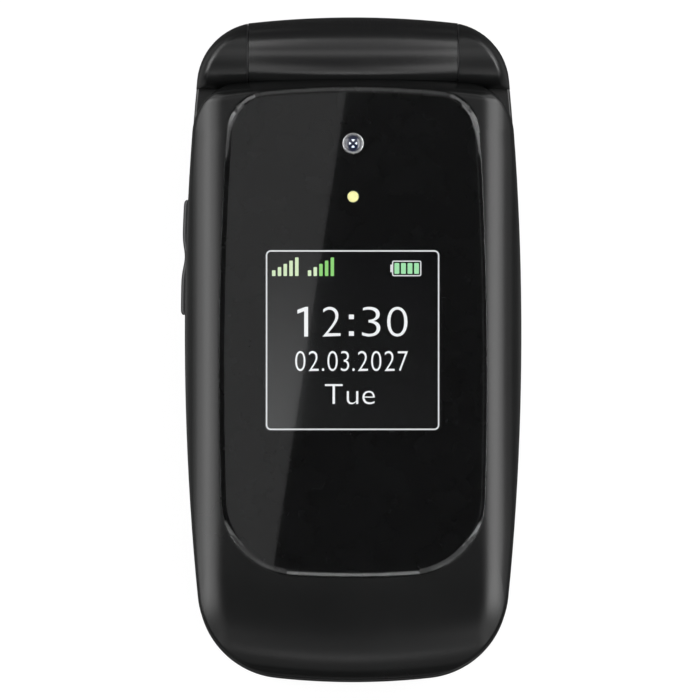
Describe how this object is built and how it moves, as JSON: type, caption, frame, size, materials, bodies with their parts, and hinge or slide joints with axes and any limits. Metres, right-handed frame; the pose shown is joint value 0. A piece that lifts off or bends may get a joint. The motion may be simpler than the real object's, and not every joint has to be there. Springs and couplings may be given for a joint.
{
  "type": "flip phone",
  "caption": "Closed clamshell phone with an outer window and small display, a hinged lid, a keypad inside, a side rocker and a removable battery cover.",
  "frame": {"origin": "middle of the phone's footprint, on the surface that its back lies on", "axes": "+X to the right across the phone, seen from above, +Y towards the hinge, +Z from the back to the lid's outer face"},
  "size_m": [0.0533, 0.104, 0.019],
  "materials": {
    "shell_textured": "fine-grained matte black, as on the lid and the battery cover",
    "shell_satin": "smooth satin black, as on the hinge barrel and the base",
    "window_gloss": "high-gloss black window, printed on its back",
    "key_satin": "satin black key caps with pale printed characters",
    "display_panel": "display module",
    "lens": "dark coated lens",
    "flash_diffuser": "pale yellow translucent flash lens",
    "steel": "stainless steel sheet and screws",
    "ring_metal": "bright ring round the camera",
    "contact_gold": "gold-plated contacts",
    "circuit_board": "solder resist green",
    "black_part": "black moulded part",
    "membrane": "translucent silicone",
    "bumper": "black rubber",
    "flex_cable": "polyimide film",
    "battery_wrap": "dark grey wrapped battery",
    "bearing": "natural acetal"
  },
  "bodies": {
    "base": {"base_front_housing": "shell_satin", "base_rear_housing": "shell_satin", "battery": "battery_wrap", "battery_contacts": "contact_gold", "main_board": "circuit_board", "shield_cans": "steel", "card_holders": "steel", "keypad_domes": "contact_gold", "keypad_membrane": "membrane", "usb_port": "steel", "audio_jack": "black_part", "loudspeaker": "black_part", "vibration_motor": "steel", "antenna": "contact_gold", "hinge_head": "steel", "hinge_bush": "bearing", "base_flex": "flex_cable", "base_screws": "steel"},
    "lid": {"lid_outer_shell": "shell_textured", "lid_inner_shell": "shell_satin", "hinge_barrel_cover": "shell_satin", "outer_window": "window_gloss", "outer_display": "display_panel", "camera_ring": "ring_metal", "camera_lens": "lens", "camera_module": "black_part", "flash_lens": "flash_diffuser", "lid_board": "circuit_board", "inner_window": "window_gloss", "main_display": "display_panel", "earpiece": "steel", "lid_magnet": "steel", "lid_screws": "steel", "lid_screw_caps": "bumper", "lid_flex": "flex_cable", "hinge_can": "steel", "hinge_spring": "steel", "hinge_cam": "steel"},
    "battery_cover": {"battery_cover": "shell_textured"},
    "volume_rocker": {"volume_rocker": "shell_satin"},
    "nav_web": {"nav_web": "black_part"},
    "nav_ring": {"nav_ring": "key_satin"},
    "key_1": {"key_1": "key_satin"},
    "key_2": {"key_2": "key_satin"},
    "key_3": {"key_3": "key_satin"},
    "key_4": {"key_4": "key_satin"},
    "key_5": {"key_5": "key_satin"},
    "key_6": {"key_6": "key_satin"},
    "key_7": {"key_7": "key_satin"},
    "key_8": {"key_8": "key_satin"},
    "key_9": {"key_9": "key_satin"},
    "key_star": {"key_star": "key_satin"},
    "key_0": {"key_0": "key_satin"},
    "key_hash": {"key_hash": "key_satin"},
    "key_soft_left": {"key_soft_left": "key_satin"},
    "key_soft_right": {"key_soft_right": "key_satin"},
    "key_call": {"key_call": "key_satin"},
    "key_end": {"key_end": "key_satin"},
    "key_ok": {"key_ok": "key_satin"}
  },
  "joints": [
    {"name": "lid_hinge", "type": "hinge", "parent": "base", "child": "lid", "pos_m": [0, 0.0459, 0.012], "axis": [-1, 0, 0], "range_deg": [0, 155]},
    {"name": "battery_cover_pull", "type": "slide", "parent": "base", "child": "battery_cover", "axis": [0, 0, -1], "range_m": [0, 0.015]},
    {"name": "volume_rocker_tilt", "type": "hinge", "parent": "base", "child": "volume_rocker", "pos_m": [-0.02448, 0.0145, 0.0073], "axis": [0, 0, 1], "range_deg": [-2, 2], "stiffness_Nm_per_rad": 0.24},
    {"name": "nav_tilt_up_down", "type": "hinge", "parent": "base", "child": "nav_web", "pos_m": [0, 0.0092, 0.0086], "axis": [1, 0, 0], "range_deg": [-1.4, 1.4], "stiffness_Nm_per_rad": 0.33},
    {"name": "nav_tilt_left_right", "type": "hinge", "parent": "nav_web", "child": "nav_ring", "pos_m": [0, 0.0092, 0.00965], "axis": [0, 1, 0], "range_deg": [-1.4, 1.4], "stiffness_Nm_per_rad": 0.33},
    {"name": "key_1_press", "type": "slide", "parent": "base", "child": "key_1", "axis": [0, 0, -1], "range_m": [0, 0.00025], "stiffness_N_per_m": 2000},
    {"name": "key_2_press", "type": "slide", "parent": "base", "child": "key_2", "axis": [0, 0, -1], "range_m": [0, 0.00025], "stiffness_N_per_m": 2000},
    {"name": "key_3_press", "type": "slide", "parent": "base", "child": "key_3", "axis": [0, 0, -1], "range_m": [0, 0.00025], "stiffness_N_per_m": 2000},
    {"name": "key_4_press", "type": "slide", "parent": "base", "child": "key_4", "axis": [0, 0, -1], "range_m": [0, 0.00025], "stiffness_N_per_m": 2000},
    {"name": "key_5_press", "type": "slide", "parent": "base", "child": "key_5", "axis": [0, 0, -1], "range_m": [0, 0.00025], "stiffness_N_per_m": 2000},
    {"name": "key_6_press", "type": "slide", "parent": "base", "child": "key_6", "axis": [0, 0, -1], "range_m": [0, 0.00025], "stiffness_N_per_m": 2000},
    {"name": "key_7_press", "type": "slide", "parent": "base", "child": "key_7", "axis": [0, 0, -1], "range_m": [0, 0.00025], "stiffness_N_per_m": 2000},
    {"name": "key_8_press", "type": "slide", "parent": "base", "child": "key_8", "axis": [0, 0, -1], "range_m": [0, 0.00025], "stiffness_N_per_m": 2000},
    {"name": "key_9_press", "type": "slide", "parent": "base", "child": "key_9", "axis": [0, 0, -1], "range_m": [0, 0.00025], "stiffness_N_per_m": 2000},
    {"name": "key_star_press", "type": "slide", "parent": "base", "child": "key_star", "axis": [0, 0, -1], "range_m": [0, 0.00025], "stiffness_N_per_m": 2000},
    {"name": "key_0_press", "type": "slide", "parent": "base", "child": "key_0", "axis": [0, 0, -1], "range_m": [0, 0.00025], "stiffness_N_per_m": 2000},
    {"name": "key_hash_press", "type": "slide", "parent": "base", "child": "key_hash", "axis": [0, 0, -1], "range_m": [0, 0.00025], "stiffness_N_per_m": 2000},
    {"name": "key_soft_left_press", "type": "slide", "parent": "base", "child": "key_soft_left", "axis": [0, 0, -1], "range_m": [0, 0.00025], "stiffness_N_per_m": 2000},
    {"name": "key_soft_right_press", "type": "slide", "parent": "base", "child": "key_soft_right", "axis": [0, 0, -1], "range_m": [0, 0.00025], "stiffness_N_per_m": 2000},
    {"name": "key_call_press", "type": "slide", "parent": "base", "child": "key_call", "axis": [0, 0, -1], "range_m": [0, 0.00025], "stiffness_N_per_m": 2000},
    {"name": "key_end_press", "type": "slide", "parent": "base", "child": "key_end", "axis": [0, 0, -1], "range_m": [0, 0.00025], "stiffness_N_per_m": 2000},
    {"name": "key_ok_press", "type": "slide", "parent": "base", "child": "key_ok", "axis": [0, 0, -1], "range_m": [0, 0.00025], "stiffness_N_per_m": 2000}
  ]
}
